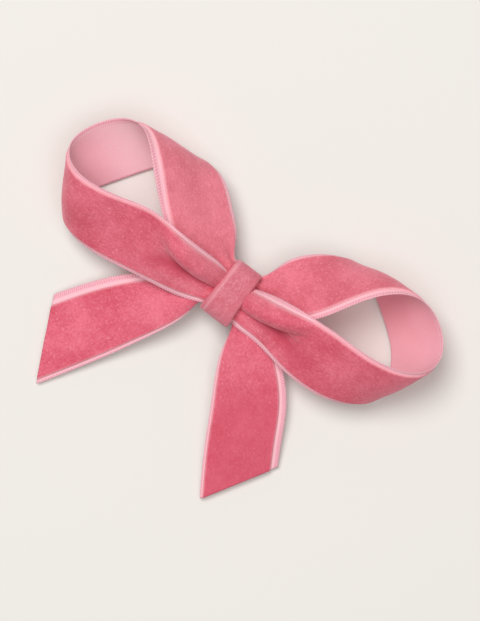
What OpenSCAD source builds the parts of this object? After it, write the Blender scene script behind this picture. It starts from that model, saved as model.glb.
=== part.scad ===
// Ribbon bow barrette: velvet ribbon loops and tails, gathered at the waist and bound by a
// folded centre wrap, on a French clip whose arm hinges open under a curved top plate.
// X runs along the clip from hinge (-X) to catch (+X), Z is up, and the closed arm rests on z = 0.

/* [Ribbon] */
// Thickness of the ribbon, woven ground and pile together
ribbon_t = 1.2; // [0.8:0.1:1.4]
// Steps between two neighbouring rim points of a ribbon
ribbon_steps = 4; // [2:1:6]

/* [Centre wrap] */
// Width of the folded wrap along the clip
wrap_w = 10.3; // [9:0.1:11]
// Thickness of the folded wrap
wrap_t = 1.1; // [0.8:0.1:1.2]
// Radius of the gathered waist's rounded sides
waist_r = 2.9; // [2.6:0.1:2.9]
// Half the distance between the waist's rounded sides
waist_half = 5; // [4:0.1:5]

/* [Top plate] */
// Length of the top plate
plate_len = 68; // [67:0.5:74]
// Width of the top plate
plate_w = 7; // [6.6:0.1:7]
// Thickness of the top plate
plate_t = 0.8; // [0.8:0.1:0.9]
// Radius of the top plate's curve
plate_r = 130; // [128:1:140]
// Height of the top plate's crown
plate_z = 9.6; // [9.6:0.1:9.7]
// Radius of the sewing holes
sew_r = 0.8; // [0.6:0.05:0.85]
// Distance of the sewing holes from the middle
sew_x = 32; // [31.8:0.1:32.4]

/* [Hinge] */
// Distance of the hinge pin from the middle
hinge_x = 26; // [25:0.1:26]
// Radius of the hinge pin
pin_r = 0.7; // [0.6:0.05:0.75]
// Running clearance round the hinge pin
pin_gap = 0.05; // [0.03:0.01:0.08]
// Radius of the arm's rolled knuckle, and the height of the pin above the table
knuckle_r = 1.4; // [1.3:0.05:1.45]
// Thickness of the arm's strip
arm_t = 0.8; // [0.6:0.1:0.8]
// Width of the arm's strip
arm_w = 4.6; // [4:0.1:4.7]

/* [Catch] */
// Distance of the catch from the middle
catch_x = 25.5; // [25:0.1:26]
// Length of each catch tab along the clip
tab_len = 3.2; // [2.8:0.1:3.4]
// Height of the catch tabs' bend lines
tab_pivot_z = 4.9; // [4.8:0.05:4.9]
// Reach of each barb under the arm's frame
barb = 0.9; // [0.8:0.05:0.9]

/* [Hidden] */
$fn = 48;

velvet = "#d8677e";
satin_thread = "#f2a9b8";
steel = "#c9cbcf";
felt = "#e9a5b2";

curve_z = plate_z - plate_r;            // height of the plate curve's centre
under_r = plate_r - plate_t;            // radius of the plate's underside
sheet_t = 0.6;                          // thickness of the bracket and catch sheets
liner_t = 0.5;
liner_len = 42;
rivet_r = 0.6;
rivet_head_r = 1.1;
rivet_head_t = 0.35;
hinge_rivet_x = 24.6;
catch_rivet_x = 22.3;
ear_gap = 5.4;                          // clear width between the hinge bracket's ears
ear_t = 0.6;
leaf_t = 0.4;
leaf_w = 4;
leaf_end_x = 19.5;                      // the leaf's free end, short of the catch
leaf_eye_x = 22.6;                      // the leaf's rolled end, on its bend line
leaf_eye_z = 6.05;
leaf_eye_r = 0.45;
leaf_z = 5.3;                           // lowest point of the leaf spring's bow
leaf_r = 350;
frame_z = 1.6;                          // underside of the arm's catch frame
frame_len = 7.4;
frame_w = 8.4;
window_len = 5.2;
window_w = 6;
joggle_x = 17;                          // where the arm starts to rise to its frame
tab_t = 0.5;
tab_y = 2.3;                            // middle of each tab's leg
ear_reach = 3.3;                        // reach of a tab's finger ear past its leg
waist_z = plate_z + liner_t + 0.4 + waist_r;
wrap_gap = 0.4;                         // room inside the wrap for the binding thread

// Rim points of each ribbon: [upper rim, lower rim], from the waist outwards and, for a loop,
// round its far end and back under itself to the waist.
left_loop_rims = [
    [[-6.5, 4.5, 17], [-6.5, -8, 12.5]], [[-15, 5.5, 22], [-13, -10.5, 11.5]],
    [[-24, 5, 26], [-21, -12, 12.5]], [[-33, 4.5, 25.5], [-30, -13.5, 13]],
    [[-42, 3, 25.5], [-39, -15, 12.5]], [[-51, 1, 26], [-48, -15, 11]],
    [[-59.5, 1.5, 24], [-54.5, -11.5, 6.5]], [[-65, 6.5, 18.5], [-54.5, -3.5, 2.5]],
    [[-63.5, 14.5, 15], [-50, 4.5, 1]], [[-58, 21.5, 15.5], [-45, 12, 1]],
    [[-50.5, 23.5, 20], [-39, 20, 1.5]], [[-42.5, 17.5, 24], [-31.5, 26, 6.5]],
    [[-34.5, 10, 23], [-23, 26, 12]], [[-27, 4, 20.5], [-15.5, 20.5, 12.5]],
    [[-18, 1, 17], [-9.5, 15, 11]], [[-7, 2, 13.5], [-6.5, 9.5, 10.8]]];
right_loop_rims = [
    [[6.5, 5, 17], [6.5, -7.5, 12.5]], [[15, 6, 22], [15, -7.5, 11.5]],
    [[24, 7, 25.5], [24, -9, 12.5]], [[33.5, 8, 27], [34, -9.5, 13.5]],
    [[43, 9, 27], [43, -8, 12.5]], [[53, 11, 25.5], [51.5, -3, 9]],
    [[60.5, 16, 21.5], [54, 5, 3.5]], [[61, 23.5, 18], [51, 13.5, 1]],
    [[54.5, 30, 18.5], [44, 20, 1]], [[45.5, 32, 22], [35.5, 25.5, 2.5]],
    [[37, 27, 25], [26.5, 29, 6]], [[30.5, 18, 25], [18, 27.5, 11]],
    [[25, 9, 22], [10, 21, 13]], [[17, 3, 17.5], [7, 15, 12]],
    [[7, 2, 13.5], [6.5, 9.5, 10.8]]];
left_tail_rims = [
    [[-7, 2.5, 10.9], [-6.5, -7, 10.7]], [[-14.5, -4, 10], [-7.5, -15, 9.3]],
    [[-24, -10.5, 7.5], [-13, -27, 6.5]], [[-34, -20.5, 4.5], [-19.5, -39, 3.5]],
    [[-43, -33, 1.6], [-31, -58, 1.4]]];
right_tail_rims = [
    [[6.5, -7.5, 10.7], [7, 2.5, 10.9]], [[8.5, -17, 9], [18, -3.5, 10]],
    [[15, -30, 6], [31, -14, 6.5]], [[22, -43, 3.5], [38, -25, 4]],
    [[30, -56, 1.5], [43, -34, 1.6]]];

// A smooth curve through a list of points, each passed at its own place
function between(a, b, c, d, t) =
    0.5 * (2 * b + (c - a) * t + (2 * a - 5 * b + 4 * c - d) * t * t + (3 * b - a - 3 * c + d) * t * t * t);
function smooth(p, steps) = let (n = len(p)) concat(
    [for (i = [0 : n - 2], k = [0 : steps - 1])
        between(i == 0 ? 2 * p[0] - p[1] : p[i - 1], p[i], p[i + 1],
                i == n - 2 ? 2 * p[n - 1] - p[n - 2] : p[i + 2], k / steps)],
    [p[n - 1]]);
function unit(v) = v / norm(v);

// A ribbon of even thickness between two rims
module ribbon(rims, thick) {
    upper = smooth([for (r = rims) r[0]], ribbon_steps);
    lower = smooth([for (r = rims) r[1]], ribbon_steps);
    last = len(upper) - 1;
    middle = (upper + lower) / 2;
    half = [for (i = [0 : last])
        unit(cross(middle[min(i + 1, last)] - middle[max(i - 1, 0)], upper[i] - lower[i])) * thick / 2];
    points = [for (i = [0 : last])
        each [upper[i] + half[i], lower[i] + half[i], lower[i] - half[i], upper[i] - half[i]]];
    sides = [for (i = [0 : last - 1], k = [0 : 3])
        each [[4 * i + k, 4 * i + 4 + k, 4 * i + (k + 1) % 4],
              [4 * i + (k + 1) % 4, 4 * i + 4 + k, 4 * i + 4 + (k + 1) % 4]]];
    ends = [[0, 1, 2], [0, 2, 3], [4 * last + 2, 4 * last + 1, 4 * last], [4 * last + 3, 4 * last + 2, 4 * last]];
    polyhedron(points, concat(sides, ends));
}

// A cylinder along Y through the origin of XZ
module y_cylinder(r, w) { rotate([90, 0, 0]) cylinder(r = r, h = w, center = true); }

// Children placed on the plate's top surface at a distance from the middle
module on_plate(x) {
    translate([0, 0, curve_z]) rotate([0, asin(x / plate_r), 0]) translate([0, 0, plate_r]) children();
}

// A round-ended bar standing on z = 0
module slot_block(length, width, height) {
    cube_len = length - width;
    translate([-cube_len / 2, -width / 2, 0]) cube([cube_len, width, height]);
    for (s = [-1, 1]) translate([s * cube_len / 2, 0, 0]) cylinder(d = width, h = height);
}

// The part of a block that lies between two radii of the plate's curve
module curved_sheet(inner_r, outer_r) {
    intersection() {
        children();
        translate([0, 0, curve_z]) difference() {
            y_cylinder(outer_r, 40, $fn = 360);
            y_cylinder(inner_r, 41, $fn = 360);
        }
    }
}

// A row of extruded waist sections, oval in YZ
module waist_bar(r, length) {
    translate([-length / 2, 0, waist_z]) rotate([90, 0, 90]) {
        translate([-waist_half, -r, 0]) cube([2 * waist_half, 2 * r, length]);
        for (s = [-1, 1]) translate([s * waist_half, 0, 0]) cylinder(r = r, h = length);
    }
}

// Outline of the wrap in YZ: wide round the waist and narrow under the plate
module wrap_outline(r, under_half, under_z) {
    hull() {
        for (s = [-1, 1]) {
            translate([s * waist_half, waist_z]) circle(r = r);
            translate([s * under_half, under_z]) circle(r = 0.3 + r - waist_r - wrap_gap, $fn = 16);
        }
    }
}

module top_plate() {
    color(steel) difference() {
        curved_sheet(under_r, plate_r) slot_block(plate_len, plate_w, 2 * plate_z);
        for (s = [-1, 1]) on_plate(s * sew_x) cylinder(r = sew_r, h = 4, center = true);
        for (x = [-hinge_rivet_x, catch_rivet_x]) on_plate(x) cylinder(r = rivet_r, h = 4, center = true);
    }
}

module plate_liner() {
    color(felt) curved_sheet(plate_r, plate_r + liner_t) slot_block(liner_len, plate_w - 0.4, 2 * plate_z);
}

module hinge_bracket() {
    base_len = 5.2;
    ear_y = (ear_gap + ear_t) / 2;
    outline = [[-hinge_x - knuckle_r + 0.05, knuckle_r], [-hinge_x + knuckle_r - 0.05, knuckle_r],
               [-23.5, 7.2], [-28.6, 7.2]];
    color(steel) difference() {
        union() {
            curved_sheet(under_r - sheet_t, under_r)
                translate([-28.6, -ear_gap / 2 - ear_t, 0]) cube([base_len, ear_gap + 2 * ear_t, 12]);
            intersection() {
                translate([0, 0, curve_z]) y_cylinder(under_r, 40, $fn = 360);
                union() {
                    for (s = [-1, 1]) translate([0, s * ear_y, 0]) {
                        translate([0, ear_t / 2, 0]) rotate([90, 0, 0]) linear_extrude(ear_t) polygon(outline);
                        translate([-hinge_x, 0, knuckle_r]) y_cylinder(knuckle_r - 0.05, ear_t);
                    }
                }
            }
        }
        translate([-hinge_x, 0, knuckle_r]) y_cylinder(pin_r, 20);
        on_plate(-hinge_rivet_x) cylinder(r = rivet_r, h = 6, center = true);
    }
}

// A rivet through the plate and one sheet under it
module rivet(x) {
    stack = plate_t + sheet_t;
    on_plate(x) {
        translate([0, 0, -stack]) cylinder(r = rivet_r, h = stack);
        cylinder(r = rivet_head_r, h = rivet_head_t);
        translate([0, 0, -stack - rivet_head_t]) cylinder(r = rivet_head_r, h = rivet_head_t);
    }
}

module hinge_rivet() { color(steel) rivet(-hinge_rivet_x); }

module catch_rivet() { color(steel) rivet(catch_rivet_x); }

module hinge_pin() {
    head_t = 0.4;
    shank = ear_gap + 2 * ear_t;
    color(steel) translate([-hinge_x, 0, knuckle_r]) {
        y_cylinder(pin_r, shank);
        for (s = [-1, 1]) translate([0, s * (shank + head_t) / 2, 0]) y_cylinder(1.1, head_t);
    }
}

module clasp_arm() {
    rise = 3.5;
    neck_x = catch_x - frame_len / 2 + 0.6;
    side = [[-hinge_x, 0], [joggle_x, 0], [joggle_x + rise, frame_z], [neck_x, frame_z],
            [neck_x, frame_z + arm_t], [joggle_x + rise - 0.4, frame_z + arm_t],
            [joggle_x - 0.4, arm_t], [-hinge_x, arm_t]];
    color(steel) difference() {
        union() {
            translate([0, arm_w / 2, 0]) rotate([90, 0, 0]) linear_extrude(arm_w) polygon(side);
            translate([-hinge_x, 0, knuckle_r]) y_cylinder(knuckle_r, arm_w);
            translate([catch_x - frame_len / 2, -frame_w / 2, frame_z]) cube([frame_len, frame_w, arm_t]);
        }
        translate([-hinge_x, 0, knuckle_r]) y_cylinder(pin_r + pin_gap, 20);
        translate([catch_x - window_len / 2, -window_w / 2, 0]) cube([window_len, window_w, 5]);
        translate([-3, 0, arm_t - 0.25]) slot_block(34, 1.4, 2);
    }
}

module leaf_spring() {
    leaf_len = leaf_eye_x + leaf_end_x;
    color(steel) {
        translate([0, 0, leaf_z + leaf_r]) intersection() {
            difference() {
                y_cylinder(leaf_r, leaf_w, $fn = 720);
                y_cylinder(leaf_r - leaf_t, leaf_w + 1, $fn = 720);
            }
            translate([-leaf_eye_x, -leaf_w / 2, -leaf_r - 1]) cube([leaf_len, leaf_w, 4]);
        }
        translate([-leaf_eye_x, 0, leaf_eye_z]) y_cylinder(leaf_eye_r, leaf_w);
    }
}

module catch_base() {
    base_half = 1.7;
    color(steel) difference() {
        curved_sheet(under_r - sheet_t, under_r)
            translate([20.6, -base_half, 0]) cube([8.2, 2 * base_half, 12]);
        on_plate(catch_rivet_x) cylinder(r = rivet_r, h = 6, center = true);
    }
}

// A catch tab on the +Y side: a springy leg with a barb below and a finger ear above
module catch_tab() {
    foot_z = 0.35;
    barb_z = 1.3;
    outer = tab_y + tab_t / 2;
    ear = [[outer - 0.1, 3.3], [outer + ear_reach, 4.0], [outer + ear_reach, 4.45], [outer - 0.1, 3.8]];
    hook = [[outer - 0.1, foot_z], [outer + 0.15, foot_z], [outer + barb, barb_z - 0.35],
            [outer + barb, barb_z], [outer - 0.1, barb_z]];
    translate([catch_x - tab_len / 2, 0, 0]) {
        translate([0, tab_y - tab_t / 2, foot_z]) cube([tab_len, tab_t, tab_pivot_z - foot_z]);
        translate([0, tab_y, tab_pivot_z]) rotate([0, 90, 0]) cylinder(r = 0.3, h = tab_len);
        rotate([90, 0, 90]) linear_extrude(tab_len) polygon(ear);
        rotate([90, 0, 90]) linear_extrude(tab_len) polygon(hook);
    }
}

module catch_tab_back() { color(steel) catch_tab(); }

module catch_tab_front() { color(steel) mirror([0, 1, 0]) catch_tab(); }

module ribbon_waist() { color(velvet) waist_bar(waist_r, 12.4); }

module binding_thread() {
    turns = 6;
    pitch = 0.7;
    thread_t = 0.25;
    color(satin_thread) for (i = [0 : turns - 1]) translate([(i - (turns - 1) / 2) * pitch, 0, 0])
        difference() {
            waist_bar(waist_r + thread_t, 0.5);
            waist_bar(waist_r, 2);
        }
}

module centre_wrap() {
    color(velvet) translate([-wrap_w / 2, 0, 0]) rotate([90, 0, 90]) linear_extrude(wrap_w) difference() {
        wrap_outline(waist_r + wrap_gap + wrap_t, 3.5, 8.85);
        wrap_outline(waist_r + wrap_gap, 3.5, 8.85);
    }
}

module wrap_tuck() {
    color(velvet) translate([-wrap_w / 2 + 0.4, -2.6, 6.65]) cube([wrap_w - 0.8, 5.6, 0.8]);
}

module wrap_stitches() {
    stitches = 5;
    gap = 1.8;
    color(satin_thread) for (i = [0 : stitches - 1])
        translate([(i - (stitches - 1) / 2) * gap, -2.6, 6.4]) slot_block(1.2, 0.4, 0.25);
}

module left_loop() { color(velvet) ribbon(left_loop_rims, ribbon_t); }

module right_loop() { color(velvet) ribbon(right_loop_rims, ribbon_t); }

module left_tail() { color(velvet) ribbon(left_tail_rims, ribbon_t); }

module right_tail() { color(velvet) ribbon(right_tail_rims, ribbon_t); }

top_plate();
plate_liner();
hinge_bracket();
hinge_rivet();
hinge_pin();
clasp_arm();
leaf_spring();
catch_base();
catch_rivet();
catch_tab_front();
catch_tab_back();
ribbon_waist();
binding_thread();
centre_wrap();
wrap_tuck();
wrap_stitches();
left_loop();
right_loop();
left_tail();
right_tail();
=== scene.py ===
"""A velvet ribbon bow barrette: ribbon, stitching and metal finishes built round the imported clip."""

import enum
import logging
import math
from dataclasses import dataclass, field
from typing import NamedTuple, Sequence

import bpy
import numpy as np
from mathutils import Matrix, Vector


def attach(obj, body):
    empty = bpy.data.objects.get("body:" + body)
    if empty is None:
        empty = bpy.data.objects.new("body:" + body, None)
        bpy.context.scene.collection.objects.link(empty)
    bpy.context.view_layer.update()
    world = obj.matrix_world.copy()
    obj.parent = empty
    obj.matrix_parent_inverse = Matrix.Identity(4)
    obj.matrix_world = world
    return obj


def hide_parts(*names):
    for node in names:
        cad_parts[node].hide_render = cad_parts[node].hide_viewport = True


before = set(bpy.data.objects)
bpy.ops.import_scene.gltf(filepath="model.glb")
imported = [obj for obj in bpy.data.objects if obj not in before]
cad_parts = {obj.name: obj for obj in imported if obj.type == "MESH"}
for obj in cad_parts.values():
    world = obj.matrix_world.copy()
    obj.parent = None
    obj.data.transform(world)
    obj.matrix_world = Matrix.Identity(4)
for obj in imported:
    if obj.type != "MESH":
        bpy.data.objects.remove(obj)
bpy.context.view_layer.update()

log = logging.getLogger("barrette")

MM = 0.001
BOW = "bow"
RIBBON_W = 22.0          # width of the ribbon, selvedge to selvedge, in mm
GROUND_T = 0.3           # thickness of the woven ground
PILE_H = 0.75            # height of the velvet pile
ROW_STEP = 0.5           # spacing of mesh rows along a ribbon
RIM_SAMPLES = 1200       # samples of a rim before it is spaced evenly
MARGIN_STEPS = 6         # mesh columns over a bare margin
EDGE_STEPS = 7           # mesh columns over a rounded edge of the pile
FACE_STEPS = 44          # mesh columns between the pile's rounded edges
EDGE_RUN = 0.7           # how far a rounded edge reaches into the pile
MARGIN_PASSES = 24       # how many times a margin's widths are evened out
RIM_PASSES = 30          # how many times a rim is evened out
PICOT_PITCH = 0.8        # spacing of the thread loops along a rim
PICOT_SHARE = 0.72       # how much of its pitch a loop takes
PICOT_REACH = 0.16       # how far a loop stands out of the rim
PICOT_ROOT = 0.15        # how far its ends go into the rim
PICOT_LIFT = 0.05        # how far it sits above the ground's middle
PICOT_R = 0.11           # its thread's radius
TINY = 1e-9              # below this a length counts as nothing
Point = tuple[float, float, float]
Rim = tuple[Point, Point]
Colour = tuple[float, float, float]
Faces = Sequence[Sequence[int]] | np.ndarray
Settings = dict[str, str | bool]
Inputs = dict[str | int, "Sock | float | tuple"]


# ---------------------------------------------------------------- shader maths


class Sock:
    """A node's output socket, on which Python operators build Math nodes."""

    def __init__(self, graph: "Graph", socket: bpy.types.NodeSocket) -> None:
        """Keeps the graph and the socket.

        Args:
            graph: The graph that the socket belongs to.
            socket: The output socket.
        """
        self.graph = graph
        self.socket = socket

    def _math(self, operation: str, *values: "Sock | float") -> "Sock":
        """Adds one Math node.

        Args:
            operation: The Math node's operation.
            values: Its inputs, in order.

        Returns:
            The node's output.
        """
        return self.graph.node("ShaderNodeMath", {"operation": operation}, dict(enumerate(values)))

    def __add__(self, other: "Sock | float") -> "Sock":
        """The sum."""
        return self._math("ADD", self, other)

    __radd__ = __add__

    def __sub__(self, other: "Sock | float") -> "Sock":
        """The difference."""
        return self._math("SUBTRACT", self, other)

    def __rsub__(self, other: float) -> "Sock":
        """The reflected difference."""
        return self._math("SUBTRACT", other, self)

    def __mul__(self, other: "Sock | float") -> "Sock":
        """The product."""
        return self._math("MULTIPLY", self, other)

    __rmul__ = __mul__

    def sin(self) -> "Sock":
        """The sine, of radians."""
        return self._math("SINE", self)

    def clamp(self, low: float = 0.0, high: float = 1.0) -> "Sock":
        """The value held between two limits."""
        return self._math("MINIMUM", self._math("MAXIMUM", self, low), high)

    def step(self, low: float, high: float) -> "Sock":
        """A smooth rise from 0 at low to 1 at high.

        Args:
            low: The value where the rise starts.
            high: The value where it ends.

        Returns:
            The smoothed value.
        """
        settings = {"interpolation_type": "SMOOTHSTEP"}
        inputs = {"Value": self, "From Min": low, "From Max": high}
        return self.graph.node("ShaderNodeMapRange", settings, inputs)


class Graph:
    """A material's node tree with one method that adds any node."""

    def __init__(self, name: str) -> None:
        """Creates an empty material.

        Args:
            name: The material's name.
        """
        self.material = bpy.data.materials.new(name)
        self.material.use_nodes = True
        self.tree = self.material.node_tree
        self.tree.nodes.clear()

    def node(
        self, kind: str, settings: Settings | None = None, inputs: Inputs | None = None, out: str | int = 0
    ) -> Sock:
        """Adds a node, sets it up and links it.

        Args:
            kind: The node's type.
            settings: Its properties, set first.
            inputs: Values or links for its sockets, by name or number.
            out: The output wanted.

        Returns:
            The output socket, wrapped.
        """
        made = self.tree.nodes.new(kind)
        for key, value in (settings or {}).items():
            setattr(made, key, value)
        for key, value in (inputs or {}).items():
            if isinstance(value, Sock):
                self.tree.links.new(value.socket, made.inputs[key])
            else:
                made.inputs[key].default_value = value
        return Sock(self, made.outputs[out])

    def stretch(self, place: Sock, scale: Sequence[float]) -> Sock:
        """A vector stretched along its three axes.

        Args:
            place: The vector.
            scale: The stretch of each axis.

        Returns:
            The stretched vector.
        """
        return self.node("ShaderNodeVectorMath", {"operation": "MULTIPLY"}, {0: place, 1: tuple(scale)})

    def position(self, scale: Sequence[float] = (1.0, 1.0, 1.0)) -> Sock:
        """The place on the object, stretched.

        Args:
            scale: The stretch along X, Y and Z.

        Returns:
            The vector.
        """
        return self.stretch(self.node("ShaderNodeTexCoord", out="Object"), scale)

    def attribute(self, name: str, out: str = "Fac") -> Sock:
        """A value stored on the mesh.

        Args:
            name: The attribute's name.
            out: "Fac" for a number or "Vector" for three.

        Returns:
            The value.
        """
        return self.node("ShaderNodeAttribute", {"attribute_name": name}, out=out)

    def noise(self, vector: Sock, scale: float, detail: float = 3.0, roughness: float = 0.55) -> Sock:
        """Fractal noise from 0 to 1.

        Args:
            vector: Where it is read.
            scale: Features per metre.
            detail: Octaves.
            roughness: How strong the fine octaves are.

        Returns:
            The noise value.
        """
        inputs = {"Vector": vector, "Scale": scale, "Detail": detail, "Roughness": roughness}
        return self.node("ShaderNodeTexNoise", None, inputs)

    def mix(self, factor: Sock | float, a: Sock | Colour, b: Sock | Colour) -> Sock:
        """Mixes two colours.

        Args:
            factor: The share of b.
            a: The first colour.
            b: The second colour.

        Returns:
            The mixed colour.
        """
        first = a if isinstance(a, Sock) else (*a, 1.0)
        second = b if isinstance(b, Sock) else (*b, 1.0)
        return self.node("ShaderNodeMix", {"data_type": "RGBA"}, {0: factor, 6: first, 7: second}, out=2)

    def strip(self) -> tuple[Sock, Sock, Sock]:
        """The place on a ribbon, stored on its mesh.

        Returns:
            The distances along and across it in mm, and the share of the margin crossed.
        """
        split = self.node("ShaderNodeSeparateXYZ", None, {0: self.attribute("strip", "Vector")})
        along, across, into = split.socket.node.outputs
        return Sock(self, along), Sock(self, across), Sock(self, into)

    def cloth(self, scale: Sequence[float]) -> Sock:
        """The place on a ribbon in millimetres, stretched.

        Args:
            scale: The stretch along, across and between its margins.

        Returns:
            The vector.
        """
        return self.stretch(self.attribute("strip", "Vector"), scale)

    def bump(self, height: Sock, strength: float, distance: float) -> Sock:
        """Turns a height into a normal.

        Args:
            height: The height, from 0 to 1.
            strength: How much of it shows.
            distance: The height that 1 stands for, in metres.

        Returns:
            The normal.
        """
        inputs = {"Height": height, "Strength": strength, "Distance": distance}
        return self.node("ShaderNodeBump", None, inputs)

    def surface(self, inputs: Inputs) -> bpy.types.Material:
        """Ends the tree in a Principled shader.

        Args:
            inputs: The shader's values and links.

        Returns:
            The finished material.
        """
        shader = self.node("ShaderNodeBsdfPrincipled", None, inputs)
        output = self.tree.nodes.new("ShaderNodeOutputMaterial")
        self.tree.links.new(shader.socket, output.inputs["Surface"])
        return self.material


# ---------------------------------------------------------------- finishes


@dataclass(frozen=True)
class Velvet:
    """Cut-pile velvet in random tone patches, with painted highlights and painted shade from a value stored
    on the mesh.

    Attributes:
        name: The material's name.
        deep: The darker pile of the random patches, and the colour of painted shade.
        pale: The lighter pile of the random patches.
        tip: The lit ends of the fibres.
        painted_highlight: The pale colour of the painted highlights along rims, folds and lit parts of the
            ribbon.
        pleat_shade: The dark colour of the painted shade deep in the pleat.
        nap_scale: Brushed patches per metre.
        cloud_scale: Broad patches per metre.
        fibre_scale: Tufts per metre.
        brushing: Streaks per mm along and across the cloth.
        pile_depth: Height of the tufts' relief, in metres.
        sheen: Weight of the pile's soft sheen.
    """

    name: str = "velvet"
    deep: Colour = (0.63, 0.080, 0.130)
    pale: Colour = (0.85, 0.190, 0.270)
    tip: Colour = (0.93, 0.42, 0.48)
    painted_highlight: Colour = (0.96, 0.56, 0.61)
    pleat_shade: Colour = (0.34, 0.030, 0.060)
    nap_scale: float = 260.0
    cloud_scale: float = 80.0
    fibre_scale: float = 1500.0
    brushing: tuple[float, float, float] = (0.55, 1.7, 0.0)
    pile_depth: float = 0.00045
    sheen: float = 0.5

    def build(self) -> bpy.types.Material:
        """Makes the material.

        Returns:
            The velvet material.
        """
        g = Graph(self.name)
        place = g.position()
        painted_light = g.attribute("painted_light")
        nap = g.noise(place, self.nap_scale, 4.0, 0.65)
        cloud = g.noise(place, self.cloud_scale, 2.0, 0.5)
        fibre = g.noise(place, self.fibre_scale, 4.0, 0.75)
        brushed = g.noise(g.cloth(self.brushing), 1.0, 3.0, 0.65)
        shade = (nap * 0.28 + cloud * 0.50 + brushed * 0.30 + fibre * 0.44).step(0.56, 0.97)
        lit = fibre.step(0.54, 0.70)
        colour = g.mix(lit * 0.36, g.mix(shade, self.deep, self.pale), self.tip)
        # Painted shade: where the stored light value is below 0 the colour darkens towards deep.
        colour = g.mix((painted_light * -0.6).clamp(), colour, self.deep)
        # Painted shade, deepest in the pleat: a strongly negative stored light value darkens the colour
        # further.
        colour = g.mix((painted_light * -0.45 - 0.5).clamp() * 0.8, colour, self.pleat_shade)
        height = fibre * 0.5 + nap * 0.2 + brushed * 0.5
        # Painted highlight: where the stored light value is above 0 the colour pales towards the highlight
        # colour.
        return g.surface({
            "Base Color": g.mix((painted_light * 0.14).clamp(), colour, self.painted_highlight),
            "Roughness": 0.95 - shade * 0.12,
            "Specular IOR Level": 0.12,
            "Sheen Weight": self.sheen,
            "Sheen Roughness": 0.45,
            "Sheen Tint": (1.0, 0.62, 0.68, 1.0),
            "Normal": g.bump(height, 0.8, self.pile_depth),
        })


@dataclass(frozen=True)
class Satin:
    """The ribbon's satin back with its fine diagonal twill.

    Attributes:
        name: The material's name.
        deep: The colour between the ribs.
        pale: The colour on the ribs.
        rib_pitch: Spacing of the ribs along the cloth, in mm.
        rib_slant: How many mm a rib moves along the cloth for each mm across it.
        thread_scale: Threads per metre.
        cloud_scale: Broad patches per metre.
        rib_depth: Height of the ribs, in metres.
    """

    name: str = "satin"
    deep: Colour = (0.88, 0.30, 0.38)
    pale: Colour = (1.0, 0.66, 0.73)
    rib_pitch: float = 0.62
    rib_slant: float = 0.8
    thread_scale: float = 1500.0
    cloud_scale: float = 70.0
    rib_depth: float = 0.00006

    def build(self) -> bpy.types.Material:
        """Makes the material.

        Returns:
            The satin material.
        """
        g = Graph(self.name)
        along, across, _ = g.strip()
        phase = (along + across * self.rib_slant) * (2 * math.pi / self.rib_pitch)
        rib = phase.sin() * 0.5 + 0.5
        thread = g.noise(g.position(), self.thread_scale, 2.0, 0.6)
        cloud = g.noise(g.position(), self.cloud_scale, 2.0, 0.5)
        # Painted light: the stored light value adds painted highlight or shade to the twill's tone.
        shade = (rib * 0.55 + thread * 0.25 + cloud * 0.30 + g.attribute("painted_light")).clamp()
        return g.surface({
            "Base Color": g.mix(shade, self.deep, self.pale),
            "Roughness": 0.30 + thread * 0.16,
            "Specular IOR Level": 0.5,
            "Sheen Weight": 0.15,
            "Sheen Roughness": 0.4,
            "Sheen Tint": (1.0, 0.85, 0.88, 1.0),
            "Normal": g.bump(rib * 0.7 + thread * 0.3, 0.5, self.rib_depth),
        })


@dataclass(frozen=True)
class Selvedge:
    """The bare margin beside the pile: a pale cord, then a ladder of weft loops out to the rim.

    Attributes:
        name: The material's name.
        gap: The colour between the loops.
        loop: The colour of the loops.
        cord: The colour of the cord beside the pile and of the rim.
        weft_pitch: Spacing of the loops, in mm.
        weft_slant: How many mm a loop moves along the cloth for each mm across it.
        thread_scale: Threads per metre.
        loop_depth: Height of the loops, in metres.
    """

    name: str = "selvedge"
    gap: Colour = (0.80, 0.31, 0.40)
    loop: Colour = (0.90, 0.46, 0.54)
    cord: Colour = (0.93, 0.51, 0.58)
    weft_pitch: float = 0.8
    weft_slant: float = 0.35
    thread_scale: float = 1800.0
    loop_depth: float = 0.00018

    def build(self) -> bpy.types.Material:
        """Makes the material.

        Returns:
            The selvedge material.
        """
        g = Graph(self.name)
        along, across, into = g.strip()
        slant = along + across * self.weft_slant
        weft = (slant * (2 * math.pi / self.weft_pitch)).sin() * 0.5 + 0.5
        thread = g.noise(g.position(), self.thread_scale, 2.0, 0.6)
        ladder = (weft * 0.65 + thread * 0.7).step(0.30, 0.95)
        rail = into.step(0.46, 0.60)
        rim = 1.0 - into.step(0.04, 0.16)
        bright = (rail + rim * 0.5).clamp()
        colour = g.mix(bright, g.mix(ladder, self.gap, self.loop), self.cord)
        height = ladder * (1.0 - bright) + bright
        return g.surface({
            "Base Color": colour,
            "Roughness": 0.42 + thread * 0.2,
            "Specular IOR Level": 0.4,
            "Sheen Weight": 0.25,
            "Sheen Roughness": 0.4,
            "Sheen Tint": (1.0, 0.9, 0.92, 1.0),
            "Normal": g.bump(height * 0.7 + thread * 0.3, 0.6, self.loop_depth),
        })


@dataclass(frozen=True)
class Thread:
    """Twisted thread, used for the picots, the binding and the stitches.

    Attributes:
        name: The material's name.
        deep: The colour between the plies.
        pale: The colour on the plies.
        ply_scale: Plies per metre.
        ply_depth: Height of the plies, in metres.
    """

    name: str = "thread"
    deep: Colour = (0.80, 0.34, 0.42)
    pale: Colour = (0.95, 0.58, 0.64)
    ply_scale: float = 2400.0
    ply_depth: float = 0.00008

    def build(self) -> bpy.types.Material:
        """Makes the material.

        Returns:
            The thread material.
        """
        g = Graph(self.name)
        ply = g.noise(g.position((1.0, 1.0, 2.0)), self.ply_scale, 2.0, 0.6)
        return g.surface({
            "Base Color": g.mix(ply.step(0.3, 0.75), self.deep, self.pale),
            "Roughness": 0.5 + ply * 0.25,
            "Specular IOR Level": 0.35,
            "Sheen Weight": 0.3,
            "Sheen Roughness": 0.4,
            "Normal": g.bump(ply, 0.5, self.ply_depth),
        })


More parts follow.
